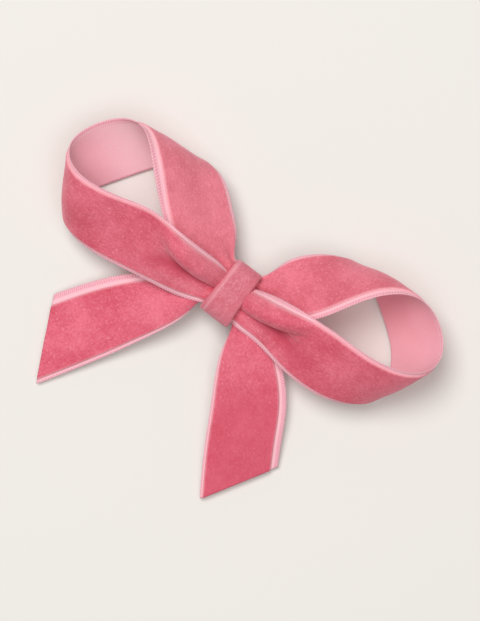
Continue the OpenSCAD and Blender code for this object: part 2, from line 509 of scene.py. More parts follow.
@dataclass(frozen=True)
class Felt:
    """Pressed felt, matted and slightly speckled.

    Attributes:
        name: The material's name.
        deep: The colour between the fibres.
        pale: The colour of the fibres on top.
        mat_scale: Matted tufts per metre.
        speck_scale: Specks per metre.
        mat_depth: Height of the tufts, in metres.
    """

    name: str = "felt"
    deep: Colour = (0.55, 0.20, 0.26)
    pale: Colour = (0.78, 0.38, 0.44)
    mat_scale: float = 900.0
    speck_scale: float = 3200.0
    mat_depth: float = 0.0002

    def build(self) -> bpy.types.Material:
        """Makes the material.

        Returns:
            The felt material.
        """
        g = Graph(self.name)
        mat = g.noise(g.position(), self.mat_scale, 5.0, 0.75)
        speck = g.noise(g.position(), self.speck_scale, 2.0, 0.5)
        shade = (mat * 0.7 + speck * 0.4).step(0.3, 0.8)
        return g.surface({
            "Base Color": g.mix(shade, self.deep, self.pale),
            "Roughness": 0.92 + shade * 0.06,
            "Specular IOR Level": 0.1,
            "Sheen Weight": 0.3,
            "Normal": g.bump(mat * 0.7 + speck * 0.3, 0.7, self.mat_depth),
        })


@dataclass(frozen=True)
class Steel:
    """Nickel-plated steel with brushing, fine scratches and worn patches.

    Attributes:
        name: The material's name.
        colour: The plating.
        worn: The plating where it is rubbed.
        scratched: The bright scratches.
        roughness: The polished plating's roughness.
        brushing: Brush marks per metre along X, Y and Z.
        scratching: Scratches per metre along X, Y and Z.
        smear_scale: Rubbed patches per metre.
        scratch: How deep the scratches are beside the brushing.
        brush_depth: Height of the brush marks, in metres.
    """

    name: str
    colour: Colour = (0.66, 0.66, 0.68)
    worn: Colour = (0.50, 0.49, 0.48)
    scratched: Colour = (0.82, 0.82, 0.83)
    roughness: float = 0.26
    brushing: tuple[float, float, float] = (60.0, 5000.0, 5000.0)
    scratching: tuple[float, float, float] = (220.0, 2600.0, 900.0)
    smear_scale: float = 160.0
    scratch: float = 0.35
    brush_depth: float = 0.00003

    def build(self) -> bpy.types.Material:
        """Makes the material.

        Returns:
            The steel material.
        """
        g = Graph(self.name)
        grain = g.noise(g.position(self.brushing), 1.0, 3.0, 0.6)
        smear = g.noise(g.position(), self.smear_scale, 4.0, 0.6)
        scratches = g.noise(g.position(self.scratching), 1.0, 1.0, 0.4).step(0.66, 0.74)
        wear = smear.step(0.52, 0.74)
        colour = g.mix(wear * 0.45, self.colour, self.worn)
        roughness = self.roughness + grain * 0.16 + wear * 0.14 - scratches * 0.06
        return g.surface({
            "Base Color": g.mix(scratches * 0.35, colour, self.scratched),
            "Metallic": 1.0,
            "Roughness": roughness.clamp(0.05, 0.9),
            "Normal": g.bump(grain * 0.7 - scratches * self.scratch, 0.25, self.brush_depth),
        })


@dataclass(frozen=True)
class Tabletop:
    """The pale warm-white floor.

    Attributes:
        name: The material's name.
        colour: The board's colour.
        mottle: The colour of its faint mottling.
        mottle_scale: Mottled patches per metre.
    """

    name: str = "tabletop"
    colour: Colour = (0.800, 0.783, 0.755)
    mottle: Colour = (0.79, 0.775, 0.75)
    mottle_scale: float = 30.0

    def build(self) -> bpy.types.Material:
        """Makes the material.

        Returns:
            The floor material.
        """
        g = Graph(self.name)
        grain = g.noise(g.position(), self.mottle_scale, 2.0, 0.5)
        tint = g.mix(grain * 0.05, self.colour, self.mottle)
        return g.surface({"Base Color": tint, "Roughness": 0.9, "Specular IOR Level": 0.1})


class Finish(enum.Enum):
    """The finishes, each with its record slot, and a colon before a variant's name."""

    VELVET = "velvet_ribbon"
    VELVET_BAND = "velvet_ribbon:band"
    SATIN = "satin_ground"
    SELVEDGE = "selvedge"
    THREAD = "sewing_thread"
    FELT = "liner_felt"
    CLIP_STEEL = "clip_steel"
    ARM_STEEL = "arm_steel"
    SPRING_STEEL = "spring_steel"
    RIVET_STEEL = "rivet_steel"

    @property
    def slot(self) -> str:
        """The record's material slot."""
        return self.value.partition(":")[0]


@dataclass
class Finishes:
    """Every material, built once.

    Attributes:
        built: The material of each finish.
    """

    built: dict[Finish, bpy.types.Material] = field(default_factory=dict)

    def __post_init__(self) -> None:
        """Builds the materials."""
        makers = {
            Finish.VELVET: Velvet(),
            # Painted light: the band's velvet is a paler copy of the same ribbon's velvet, painted lighter.
            Finish.VELVET_BAND: Velvet(
                "velvet_band", deep=(0.62, 0.145, 0.195), pale=(0.81, 0.300, 0.370), tip=(0.87, 0.44, 0.51)),
            Finish.SATIN: Satin(),
            Finish.SELVEDGE: Selvedge(),
            Finish.THREAD: Thread(),
            Finish.FELT: Felt(),
            Finish.CLIP_STEEL: Steel("clip_nickel"),
            Finish.ARM_STEEL: Steel("arm_nickel", roughness=0.22, scratch=0.6),
            Finish.SPRING_STEEL: Steel(
                "spring_steel", colour=(0.56, 0.57, 0.60), worn=(0.42, 0.41, 0.42), roughness=0.30),
            Finish.RIVET_STEEL: Steel(
                "rivet_nickel", colour=(0.72, 0.72, 0.73), roughness=0.14, brushing=(500.0, 500.0, 500.0)),
        }
        self.built = {finish: maker.build() for finish, maker in makers.items()}

    def __getitem__(self, finish: Finish) -> bpy.types.Material:
        """The material of one finish."""
        return self.built[finish]


# ---------------------------------------------------------------- curves and meshes


def smooth_curve(points: np.ndarray, count: int) -> np.ndarray:
    """A smooth curve through points, evenly spaced in its own parameter.

    Args:
        points: The points to pass, one per row.
        count: How many samples to return.

    Returns:
        The samples, one per row.
    """
    n = len(points)
    knots = np.arange(n)
    system = np.zeros((n, n))
    right = np.zeros_like(points)
    system[0, 0] = system[-1, -1] = 1.0
    for i in range(1, n - 1):
        system[i, i - 1:i + 2] = (1.0, 4.0, 1.0)
        right[i] = 6.0 * (points[i - 1] - 2.0 * points[i] + points[i + 1])
    bends = np.linalg.solve(system, right)
    t = np.linspace(0, n - 1, count)
    k = np.minimum(t.astype(int), n - 2)
    b = (t - knots[k])[:, None]
    a = 1.0 - b
    curve = a * points[k] + b * points[k + 1]
    return curve + ((a ** 3 - a) * bends[k] + (b ** 3 - b) * bends[k + 1]) / 6.0


def distances(path: np.ndarray) -> np.ndarray:
    """The distance of each point of a path from its start."""
    return np.concatenate([[0.0], np.cumsum(np.linalg.norm(np.diff(path, axis=0), axis=1))])


def resample(rows: np.ndarray, run: np.ndarray, places: np.ndarray) -> np.ndarray:
    """Reads a list of rows at other distances.

    Args:
        rows: The rows.
        run: Their distances.
        places: The distances wanted.

    Returns:
        A row for each place.
    """
    return np.stack([np.interp(places, run, column) for column in rows.T], axis=1)


def smooth_step(share: np.ndarray) -> np.ndarray:
    """A smooth rise from 0 to 1 as the share does, level at both ends."""
    held = np.clip(share, 0, 1)
    return held * held * (3 - 2 * held)


def even_rows(upper: np.ndarray, lower: np.ndarray, step: float) -> tuple[np.ndarray, np.ndarray, np.ndarray]:
    """Spaces two rims evenly along their middle line.

    Args:
        upper: Samples of the upper rim.
        lower: Samples of the lower rim.
        step: The spacing wanted.

    Returns:
        The distance along the middle line and the two rims at it.
    """
    run = distances((upper + lower) / 2)
    along = np.linspace(0.0, run[-1], max(8, int(round(run[-1] / step))) + 1)
    return along, resample(upper, run, along), resample(lower, run, along)


def soften(rows: np.ndarray, passes: int) -> np.ndarray:
    """Evens out small waves along a list of rows, leaving its ends where they are.

    Args:
        rows: The rows.
        passes: How many times neighbours are averaged.

    Returns:
        The evened rows.
    """
    out = rows.copy()
    for _ in range(passes):
        out[1:-1] = 0.25 * out[:-2] + 0.5 * out[1:-1] + 0.25 * out[2:]
    return out


def value_noise(shape: tuple[int, int], cells: tuple[int, int], rng: np.random.Generator) -> np.ndarray:
    """Smooth random values on a grid.

    Args:
        shape: Rows and columns wanted.
        cells: Rows and columns of random values under them.
        rng: The seeded source.

    Returns:
        Values from -1 to 1.
    """
    seeds = rng.uniform(-1, 1, (cells[0] + 2, cells[1] + 2))
    u = np.linspace(0, cells[0], shape[0])
    v = np.linspace(0, cells[1], shape[1])
    i, j = u.astype(int), v.astype(int)
    fu, fv = smooth_step(u - i)[:, None], smooth_step(v - j)[None, :]
    near = seeds[np.ix_(i, j)] * (1 - fv) + seeds[np.ix_(i, j + 1)] * fv
    far = seeds[np.ix_(i + 1, j)] * (1 - fv) + seeds[np.ix_(i + 1, j + 1)] * fv
    return near * (1 - fu) + far * fu


def grid_normals(grid: np.ndarray) -> np.ndarray:
    """Unit normals of a grid of points.

    Args:
        grid: Rows by columns by 3.

    Returns:
        The normals, in the same shape.
    """
    return unit(np.cross(np.gradient(grid, axis=0), np.gradient(grid, axis=1)))


def unit(vector: np.ndarray) -> np.ndarray:
    """Rows scaled to length 1."""
    return vector / np.maximum(np.linalg.norm(vector, axis=-1, keepdims=True), TINY)


def new_mesh(name: str, points: np.ndarray, faces: Faces, smooth: bool = True) -> bpy.types.Object:
    """Makes a mesh object from points in millimetres.

    Args:
        name: The piece's name.
        points: Its points, in mm.
        faces: Its faces.
        smooth: Whether it is smooth shaded.

    Returns:
        The object, linked to the scene.
    """
    mesh = bpy.data.meshes.new(name)
    mesh.from_pydata((np.asarray(points) * MM).tolist(), [], [list(f) for f in faces])
    mesh.validate()
    mesh.polygons.foreach_set("use_smooth", [smooth] * len(mesh.polygons))
    piece = bpy.data.objects.new(name, mesh)
    bpy.context.scene.collection.objects.link(piece)
    return piece


def loft(rings: np.ndarray, start: int = 0) -> tuple[np.ndarray, list[list[int]]]:
    """A closed skin over a row of rings.

    Args:
        rings: Rings by points by 3, in mm.
        start: The number of its first point in the mesh.

    Returns:
        Its points and faces.
    """
    count, sides = rings.shape[:2]
    faces = []
    for i in range(count - 1):
        for k in range(sides):
            a, b = start + i * sides + k, start + i * sides + (k + 1) % sides
            faces.append([a, b, b + sides, a + sides])
    last = start + (count - 1) * sides
    faces.append([start + k for k in range(sides - 1, -1, -1)])
    faces.append([last + k for k in range(sides)])
    return rings.reshape(-1, 3), faces


def tube(path: np.ndarray, radius: float, sides: int, start: int) -> tuple[np.ndarray, list[list[int]]]:
    """A round tube with closed ends along a path.

    Args:
        path: The points it follows, in mm.
        radius: Its radius.
        sides: How many sides it has.
        start: The number of its first point in the mesh.

    Returns:
        Its points and faces.
    """
    ahead = unit(np.gradient(path, axis=0))
    helper = np.where(np.abs(ahead[:, 2:3]) > 0.9, np.array([[1.0, 0, 0]]), np.array([[0, 0, 1.0]]))
    side = unit(np.cross(ahead, helper))
    top = np.cross(side, ahead)
    angle = np.arange(sides) * 2 * math.pi / sides
    ring = side[:, None, :] * np.cos(angle)[None, :, None] + top[:, None, :] * np.sin(angle)[None, :, None]
    return loft(path[:, None, :] + radius * ring, start)


def threads(name: str, paths: Sequence[np.ndarray], radius: float, sides: int) -> bpy.types.Object:
    """Makes one mesh of round threads.

    Args:
        name: The piece's name.
        paths: The points that each thread follows, in mm.
        radius: Their radius.
        sides: How many sides they have.

    Returns:
        The piece.
    """
    points, faces, start = [], [], 0
    for path in paths:
        skin, skin_faces = tube(path, radius, sides, start)
        points.append(skin)
        faces.extend(skin_faces)
        start += len(skin)
    return new_mesh(name, np.concatenate(points), faces)


def declare(piece: bpy.types.Object, node: str) -> None:
    """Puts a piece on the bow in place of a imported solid.

    Args:
        piece: The piece.
        node: The solid that it stands for.
    """
    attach(piece, BOW)
    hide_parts(node)


# ---------------------------------------------------------------- the ribbon


class Side(enum.IntEnum):
    """The surfaces of a ribbon, by the number of their material on the mesh."""

    PILE = 0
    BACK = 1
    MARGIN = 2


@dataclass
class RibbonPiece:
    """A length of velvet ribbon: woven ground, pile on one side and two bare selvedges.

    Attributes:
        name: The piece's name.
        upper_margin: Bare widths along the upper rim at even steps from start to end, in mm.
        lower_margin: The same along the lower rim.
        outward: 1 or -1, the side of the surface that carries the pile.
        seed: The seed of its nap.
        pile_h: The pile's height.
        cloth_w: The ribbon's full width.
        hem_w: Width of the edging that shows on the satin side.
        painted_light: Painted light on the pile at the ribbon's start and end: above 0 a painted highlight,
            below 0 painted shade, where 1 is full strength.
        painted_light_turn: Where the painted light begins to change and how long it takes, as shares of the
            length.
        satin_painted_light: Painted light and shade on the satin side at even steps from start to end; above
            0 paler.
        cover: The finish of the pile.
    """

    name: str
    upper_margin: Sequence[float] = (1.0, 1.9)
    lower_margin: Sequence[float] = (0.8, 0.8)
    outward: int = 1
    seed: int = 1
    pile_h: float = PILE_H
    cloth_w: float = RIBBON_W
    hem_w: float = 0.7
    painted_light: tuple[float, float] = (0.0, 1.0)
    painted_light_turn: tuple[float, float] = (0.35, 0.3)
    satin_painted_light: Sequence[float] = (0.05, 0.05)
    cover: Finish = Finish.VELVET

    def rows(self) -> np.ndarray:
        """The distance of each mesh row along the ribbon, in mm."""
        raise NotImplementedError

    def surface(self, across: np.ndarray) -> np.ndarray:
        """The ground's mid-surface.

        Args:
            across: Rows of places across the ribbon, from 0 at the upper rim to 1 at the lower.

        Returns:
            Rows by places by 3, in mm.
        """
        raise NotImplementedError

    def _margin(self, widths: Sequence[float]) -> np.ndarray:
        """A bare margin's width at each row.

        Args:
            widths: Its widths at even steps, in mm.

        Returns:
            A column of widths in mm.
        """
        share = self.rows() / self.rows()[-1]
        return soften(np.interp(share, np.linspace(0, 1, len(widths)), widths)[:, None], MARGIN_PASSES)

    def lean(self, across: np.ndarray) -> np.ndarray:
        """The painted light on the pile, where 1 is a full painted highlight and -1 full painted shade.

        Args:
            across: Rows of places across the ribbon.

        Returns:
            Rows of painted light values.
        """
        share = self.rows() / self.rows()[-1]
        turned = smooth_step((share - self.painted_light_turn[0]) / self.painted_light_turn[1])
        lean = self.painted_light[0] + (self.painted_light[1] - self.painted_light[0]) * turned
        return np.tile(lean[:, None], (1, across.shape[1]))

    def columns(self) -> tuple[np.ndarray, np.ndarray, np.ndarray]:
        """Places across the ribbon, the height of the pile and how far each is into its margin.

        Returns:
            Rows of places from 0 to 1, the heights in mm, and shares of the margin from 0 at the rim to 1.
        """
        low = self._margin(self.upper_margin)
        high = self.cloth_w - self._margin(self.lower_margin)
        turn = np.linspace(0, 1, EDGE_STEPS) * math.pi / 2
        lift, drop = np.sin(turn), EDGE_RUN * (1 - np.cos(turn))
        margin = np.linspace(0, 1, MARGIN_STEPS)
        rise, fall = low + drop, high - drop[::-1]
        steps = np.linspace(0, 1, FACE_STEPS + 2)[None, 1:-1]
        middle = rise[:, -1:] + (fall[:, :1] - rise[:, -1:]) * steps
        edge = high + (self.cloth_w - high) * margin[None, :]
        places = np.concatenate([low * margin[None, :], rise[:, 1:], middle, fall[:, :-1], edge], axis=1)
        heights = np.concatenate([0 * margin, lift[1:], np.ones(FACE_STEPS), lift[::-1][:-1], 0 * margin])
        into = np.concatenate([margin, np.ones(places.shape[1] - 2 * MARGIN_STEPS), margin[::-1]])
        return places / self.cloth_w, heights * self.pile_h, into

    def _nap(self, shape: tuple[int, int]) -> np.ndarray:
        """How much taller or shorter the pile stands at each point, as a share of its height.

        Args:
            shape: Rows and columns of points.

        Returns:
            The shares.
        """
        rng = np.random.default_rng(self.seed)
        nap = 0.06 * value_noise(shape, (max(2, shape[0] // 8), 9), rng)
        nap += 0.035 * value_noise(shape, (max(2, shape[0] // 3), 22), rng)
        return nap + 0.02 * rng.uniform(-1, 1, shape)

    def _skin(self, across: np.ndarray, pile: np.ndarray) -> tuple[np.ndarray, np.ndarray]:
        """The faces that close the ribbon: both its surfaces, its selvedges and its cut ends.

        Args:
            across: Rows of places across the ribbon.
            pile: The height of the pile at each column.

        Returns:
            The faces' corners and the side of each.
        """
        top, under = np.arange(2 * across.size).reshape(2, *across.shape)
        bare = np.where(pile[:-1] + pile[1:] < TINY, Side.MARGIN, Side.PILE)
        centre = (across[0, :-1] + across[0, 1:]) / 2
        inset = np.minimum(centre, 1 - centre) * self.cloth_w
        hem = np.where(inset < self.hem_w, Side.MARGIN, Side.BACK)
        outer = np.stack([top[:-1, :-1], top[1:, :-1], top[1:, 1:], top[:-1, 1:]], axis=2)
        inner = np.stack([under[:-1, :-1], under[:-1, 1:], under[1:, 1:], under[1:, :-1]], axis=2)
        selvedges = np.stack([top[:-1], under[:-1], under[1:], top[1:]], axis=2)[:, [0, -1]]
        ends = np.stack([top[:, :-1], top[:, 1:], under[:, 1:], under[:, :-1]], axis=2)[[0, -1]]
        selvedges[:, 1] = selvedges[:, 1, ::-1]
        ends[1] = ends[1, :, ::-1]
        surfaces = np.stack([outer, inner], axis=2)
        sides = [np.tile(np.stack([bare, hem], axis=1), (len(outer), 1)),
                 np.full(2 * len(selvedges), Side.MARGIN), np.repeat(bare, 2)]
        faces = np.concatenate([part.reshape(-1, 4) for part in (surfaces, selvedges, ends.swapaxes(0, 1))])
        return faces[:, ::self.outward], np.concatenate([part.ravel() for part in sides])

    def _store(self, piece: bpy.types.Object, across: np.ndarray, into: np.ndarray) -> None:
        """Stores what the finishes read: the place on the cloth and the painted light and shade.

        Args:
            piece: The ribbon's mesh.
            across: Rows of places across the ribbon.
            into: The share of the margin crossed at each column.
        """
        strip = np.zeros((2, *across.shape, 3), np.float32)
        strip[..., 0] = self.rows()[None, :, None]
        strip[..., 1] = across[None] * self.cloth_w
        strip[..., 2] = into
        # Painted light: the painted highlight and shade of the pile and of the satin side, one value for each
        # point.
        satin = np.tile(self._margin(self.satin_painted_light), (1, across.shape[1]))
        lean = np.stack([self.lean(across), satin]).astype(np.float32)
        stored = piece.data.attributes
        stored.new("strip", "FLOAT_VECTOR", "POINT").data.foreach_set("vector", strip.ravel())
        stored.new("painted_light", "FLOAT", "POINT").data.foreach_set("value", lean.ravel())

    def build(self, finishes: Finishes) -> bpy.types.Object:
        """Builds the ribbon as one closed mesh with a material for each of its surfaces.

        Args:
            finishes: The materials.

        Returns:
            The piece.
        """
        across, pile, into = self.columns()
        middle = self.surface(across)
        normals = grid_normals(middle) * self.outward
        raised = (pile[None, :] * (1 + self._nap(across.shape)))[..., None]
        outer = middle + normals * (GROUND_T / 2 + raised)
        inner = middle - normals * (GROUND_T / 2)
        faces, sides = self._skin(across, pile)
        piece = new_mesh(self.name, np.concatenate([outer.reshape(-1, 3), inner.reshape(-1, 3)]), faces)
        for finish in (self.cover, Finish.SATIN, Finish.SELVEDGE):
            piece.data.materials.append(finishes[finish])
        piece.data.polygons.foreach_set("material_index", sides.astype(np.int32))
        self._store(piece, across, into)
        return piece

    def picots(self, finishes: Finishes) -> bpy.types.Object:
        """Builds the small thread loops along both selvedges.

        Args:
            finishes: The materials.

        Returns:
            The piece.
        """
        grid = self.surface(np.tile([[0.0, 0.01, 0.99, 1.0]], (len(self.rows()), 1)))
        normals = grid_normals(grid) * self.outward
        arc = np.linspace(-0.5, 0.5, 6)
        rooted = PICOT_REACH + PICOT_ROOT
        bow = (np.cos(arc * math.pi) * rooted - PICOT_ROOT)[:, None]
        paths = []
        for rim, inside in ((0, 1), (3, 2)):
            edge = grid[:, rim]
            out = unit(edge - grid[:, inside])
            run = distances(edge)
            for centre in np.arange(PICOT_PITCH, run[-1] - PICOT_PITCH / 2, PICOT_PITCH):
                local = centre + arc * PICOT_PITCH * PICOT_SHARE
                foot = resample(edge, run, local) + resample(normals[:, rim], run, local) * PICOT_LIFT
                paths.append(foot + resample(out, run, local) * bow)
        piece = threads(self.name + "_picots", paths, PICOT_R, 5)
        piece.data.materials.append(finishes[Finish.THREAD])
        return piece


class Pleat(NamedTuple):
    """A fold laid over the ribbon where it enters the wrap.

    Attributes:
        fold: The place of its fold, as a share between the rims.
        turn: The place of its inner turn.
        height: How high it stands, in mm.
        cloth: The share of the cloth above the fold.
        opens: Where along the ribbon it begins to open, in mm.
        gone: Where it is gone.
        pinched: The share of its height that is left inside the wrap.
        free: Where it comes out of the wrap and begins to rise.
        rise: The length over which it rises to its full height.
    """

    fold: float
    turn: float
    height: float
    cloth: float
    opens: float
    gone: float
    pinched: float = 0.30
    free: float = 3.5
    rise: float = 8.0

    def profile(self, across: np.ndarray) -> tuple[np.ndarray, np.ndarray]:
        """The pleat's profile with its folds rounded.

        Args:
            across: Places on the cloth, from 0 to 1.

        Returns:
            Places between the rims and heights in mm.
        """
        edge, inner = self.fold, self.turn
        # Each row: a place on the cloth, its place between the rims and its share of the height.
        knots = np.array([
            (0.0, 0.0, 0.0), (0.07, 0.21 * edge, 0.50), (0.14, 0.43 * edge, 0.92),
            (0.19, 0.58 * edge, 1.0), (0.25, 0.78 * edge, 0.92), (0.30, 0.94 * edge, 0.74),
            (0.335, edge, 0.54), (0.36, 0.96 * edge, 0.38), (0.43, 0.5 * (edge + inner), 0.30),
            (0.50, 0.2 * edge + 0.8 * inner, 0.22), (0.535, inner, 0.06), (0.575, inner + 0.04, -0.10),
            (0.66, inner + 0.20 * (1 - inner), -0.22), (0.80, inner + 0.52 * (1 - inner), -0.10),
            (1.0, 1.0, 0.0)])
        at_fold = knots[6, 0]
        above = knots[:, 0] * self.cloth / at_fold
        below = 1 - (1 - knots[:, 0]) * (1 - self.cloth) / (1 - at_fold)
        knots[:, 0] = np.where(knots[:, 0] <= at_fold, above, below)
        fine = np.linspace(0, 1, 601)
        places, heights = soften(resample(knots[:, 1:], knots[:, 0], fine), 60).T
        return np.interp(across, fine, places), self.height * np.interp(across, fine, heights)

    def opened(self, along: np.ndarray) -> np.ndarray:
        """How far the pleat has opened at each row, from 0 to 1, as a column."""
        return np.clip((along - self.opens) / (self.gone - self.opens), 0, 1)[:, None]

    def standing(self, along: np.ndarray) -> np.ndarray:
        """How high the pleat stands at each row, as a share of its height.

        Args:
            along: The distance of each row along the ribbon.

        Returns:
            A column of shares.
        """
        risen = np.clip((along - self.free) / self.rise, 0, 1)[:, None]
        flattened = smooth_step((self.opened(along) - 0.45) / 0.55)
        return (1 - flattened) * (self.pinched + (1 - self.pinched) * risen)

    def streaks(self) -> tuple[tuple[float, float, float, float], ...]:
        """Painted highlights and shade on it, each as place on the cloth, reach, strength (above 0 a painted
        highlight, below 0 painted shade) and how fast it fades.
        """
        pleat_shade = self.cloth + 0.53 * (1 - self.cloth)
        return ((0.35 * self.cloth, 0.05, 0.9, 1.0), (pleat_shade, 0.10, -2.6, 0.5),
                (self.cloth + 0.01, 0.025, -1.5, 0.5), (0.84, 0.07, 0.9, 0.5))


class Wave(NamedTuple):
    """A soft gather: waves across the ribbon that die away from one of its ends.

    Attributes:
        count: How many waves there are across the ribbon.
        depth: Their depth, in mm.
        phase: Their phase, in turns.
        far_end: Whether they start at the ribbon's far end.
        reach: How far along the ribbon they go, in mm.
    """

    count: float
    depth: float
    phase: float
    far_end: bool
    reach: float


class Bulge(NamedTuple):
    """A place where the cloth swells outwards.

    Attributes:
        where: Its distance along the ribbon, in mm.
        depth: How far it swells, in mm.
        reach: How far along the ribbon it dies away, in mm.
    """

    where: float
    depth: float
    reach: float


@dataclass
class Strand(RibbonPiece):
    """A ribbon that runs between two rims, gathered where it enters the wrap.

    Attributes:
        rims: Pairs of rim points in mm, upper then lower, from the wrap outwards.
        pleat: The pleat at its start.
        waves: Its soft gathers.
        bulges: The places where it swells.
        wobble: How far the cloth strays from a true surface, in mm.
        rim_highlight: Strength of the painted highlight along the rims.
        rim_highlight_w: How far from a margin that painted highlight dies away, in mm.
    """

    rims: Sequence[Rim] = ()
    pleat: Pleat | None = None
    waves: Sequence[Wave] = ()
    bulges: Sequence[Bulge] = ()
    wobble: float = 0.25
    rim_highlight: float = 4.2
    rim_highlight_w: float = 0.42

    def __post_init__(self) -> None:
        """Works out the evenly spaced rims."""
        upper, lower = (smooth_curve(rim, RIM_SAMPLES) for rim in np.array(self.rims, float).swapaxes(0, 1))
        self._along, upper, lower = even_rows(upper, lower, ROW_STEP)
        self._upper = soften(upper, RIM_PASSES)
        self._lower = soften(lower, RIM_PASSES)

    def rows(self) -> np.ndarray:
        """The distance of each mesh row along the ribbon, in mm."""
        return self._along

    def lean(self, across: np.ndarray) -> np.ndarray:
        """The painted light: painted shade behind the pleat, painted highlights on its ridge and along the
        rims.

        Args:
            across: Rows of places across the ribbon.

        Returns:
            Rows of painted light values.
        """
        lean = super().lean(across)
        inset = across * self.cloth_w
        low = self._margin(self.upper_margin)
        high = self.cloth_w - self._margin(self.lower_margin)
        # Painted highlight along both rims.
        for gap in (inset - low, high - inset):
            lean = lean + self.rim_highlight * np.exp(-np.clip(gap / self.rim_highlight_w, 0, None) ** 2)
        if self.pleat:
            closed = 1 - self.pleat.opened(self._along)
            # Painted highlights on the pleat's flap and lower layer, painted shade in its hollow and under
            # its fold edge.
            for place, reach, amount, fade in self.pleat.streaks():
                lean = lean + amount * closed ** fade * np.exp(-((across - place) / reach) ** 2)
        return lean

    def surface(self, across: np.ndarray) -> np.ndarray:
        """The ground's mid-surface.

        Args:
            across: Rows of places across the ribbon, from 0 at the upper rim to 1 at the lower.

        Returns:
            Rows by places by 3, in mm.
        """
        span = self._lower - self._upper
        middle = (self._upper + self._lower) / 2
        normal = unit(np.cross(unit(np.gradient(middle, axis=0)), span)) * self.outward
        arch = np.sin(across * math.pi)
        share = across
        rng = np.random.default_rng(self.seed + 50)
        lift = self.wobble * value_noise(across.shape, (max(2, len(middle) // 22), 3), rng) * arch
        if self.pleat:
            places, heights = self.pleat.profile(across)
            opened = self.pleat.opened(self._along)
            share = across * opened + places * (1 - opened)
            lift = lift + heights * self.pleat.standing(self._along)
        for bulge in self.bulges:
            swell = np.exp(-((self._along - bulge.where) / bulge.reach) ** 2)[:, None]
            lift = lift + bulge.depth * swell * arch
        hump = np.sqrt(np.clip(arch, 0, 1))
        for wave in self.waves:
            away = self._along[-1] - self._along if wave.far_end else self._along
            near = np.clip(1 - away / wave.reach, 0, 1)[:, None] ** 1.5
            lift = lift + near * wave.depth * np.sin((across * wave.count + wave.phase) * 2 * math.pi) * hump
        flat = self._upper[:, None, :] + span[:, None, :] * share[..., None]
        return flat + normal[:, None, :] * lift[..., None]


# ---------------------------------------------------------------- the wrap round the middle


@dataclass(frozen=True)
class WrapOutline:
    """The wrap's inner outline in the YZ plane, round the ribbons and the top plate.

    Attributes:
        bundle: Centre of the rounded end over the gathered ribbons, in mm.
        bundle_r: Its radius.
        plate: Centre of the corner under the plate's edge.
        plate_r: Its radius.
        start_y: How far from the middle each end stops.
        step: The spacing of the outline's points.
    """

    bundle: tuple[float, float] = (5.0, 13.4)
    bundle_r: float = 3.3
    plate: tuple[float, float] = (3.5, 8.85)
    plate_r: float = 0.3
    start_y: float = 1.2
    step: float = 0.45

    @staticmethod
    def _arc(centre: tuple[float, float], radius: float, angles: np.ndarray) -> tuple[np.ndarray, np.ndarray]:
        """Points of an arc.

        Args:
            centre: Its centre.
            radius: Its radius.
            angles: The angles of its points.

        Returns:
            The points and their outward directions.
        """
        outward = np.stack([np.cos(angles), np.sin(angles)], axis=1)
        return np.array(centre) + outward * radius, outward

    def points(self) -> tuple[np.ndarray, np.ndarray]:
        """The outline from under the plate on the +Y side, over the top and back.

        Returns:
            The points and their outward directions.
        """
        gap_y, gap_z = self.bundle[0] - self.plate[0], self.bundle[1] - self.plate[1]
        apart = math.hypot(gap_y, gap_z)
        lean = math.atan2(gap_z, gap_y) - math.acos((self.plate_r - self.bundle_r) / apart)
        under_y = np.arange(self.start_y, self.plate[0], self.step)
        under = np.stack([under_y, np.full(len(under_y), self.plate[1] - self.plate_r)], axis=1)
        down = np.tile([[0.0, -1.0]], (len(under_y), 1))
        corner, corner_out = self._arc(self.plate, self.plate_r, np.linspace(-math.pi / 2, lean, 4))
        top, top_out = self._arc(self.bundle, self.bundle_r, np.linspace(lean, math.pi / 2, 26))
        half = np.concatenate([under, corner, top])
        outward = np.concatenate([down, corner_out, top_out])
        whole = np.concatenate([half, half[::-1] * (-1, 1)])
        facing = np.concatenate([outward, outward[::-1] * (-1, 1)])
        run = distances(whole)
        even = np.linspace(0, run[-1], int(run[-1] / self.step) + 1)
        return resample(whole, run, even), unit(soften(resample(facing, run, even), 4))


